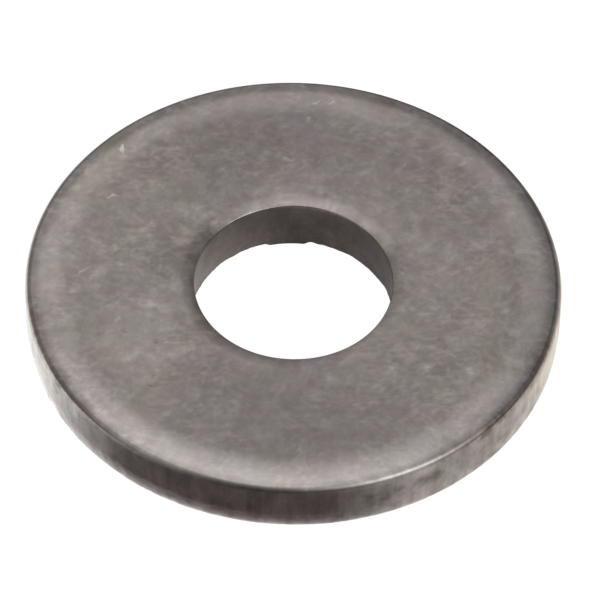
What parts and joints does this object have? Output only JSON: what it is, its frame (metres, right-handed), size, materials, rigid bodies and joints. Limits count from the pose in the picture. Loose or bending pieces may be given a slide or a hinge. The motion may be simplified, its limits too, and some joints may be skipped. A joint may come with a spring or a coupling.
{
  "type": "washer",
  "caption": "Thick plain flat washer of dull steel, punched from sheet, with a rolled rim on one face, a round bore and a slightly torn lower lip.",
  "frame": {"origin": "centre of the underside, on the axis of the bore", "axes": "+Z along the bore axis, out of the struck face with the rolled rim; +X and +Y lie in the underside, and +Y points at the patch of the lower lip that stands in"},
  "size_m": [0.018, 0.018, 0.0021],
  "materials": {
    "steel": "tumbled, dull warm grey with fine random scratches"
  },
  "bodies": {
    "root": {"washer": "steel"}
  },
  "joints": []
}
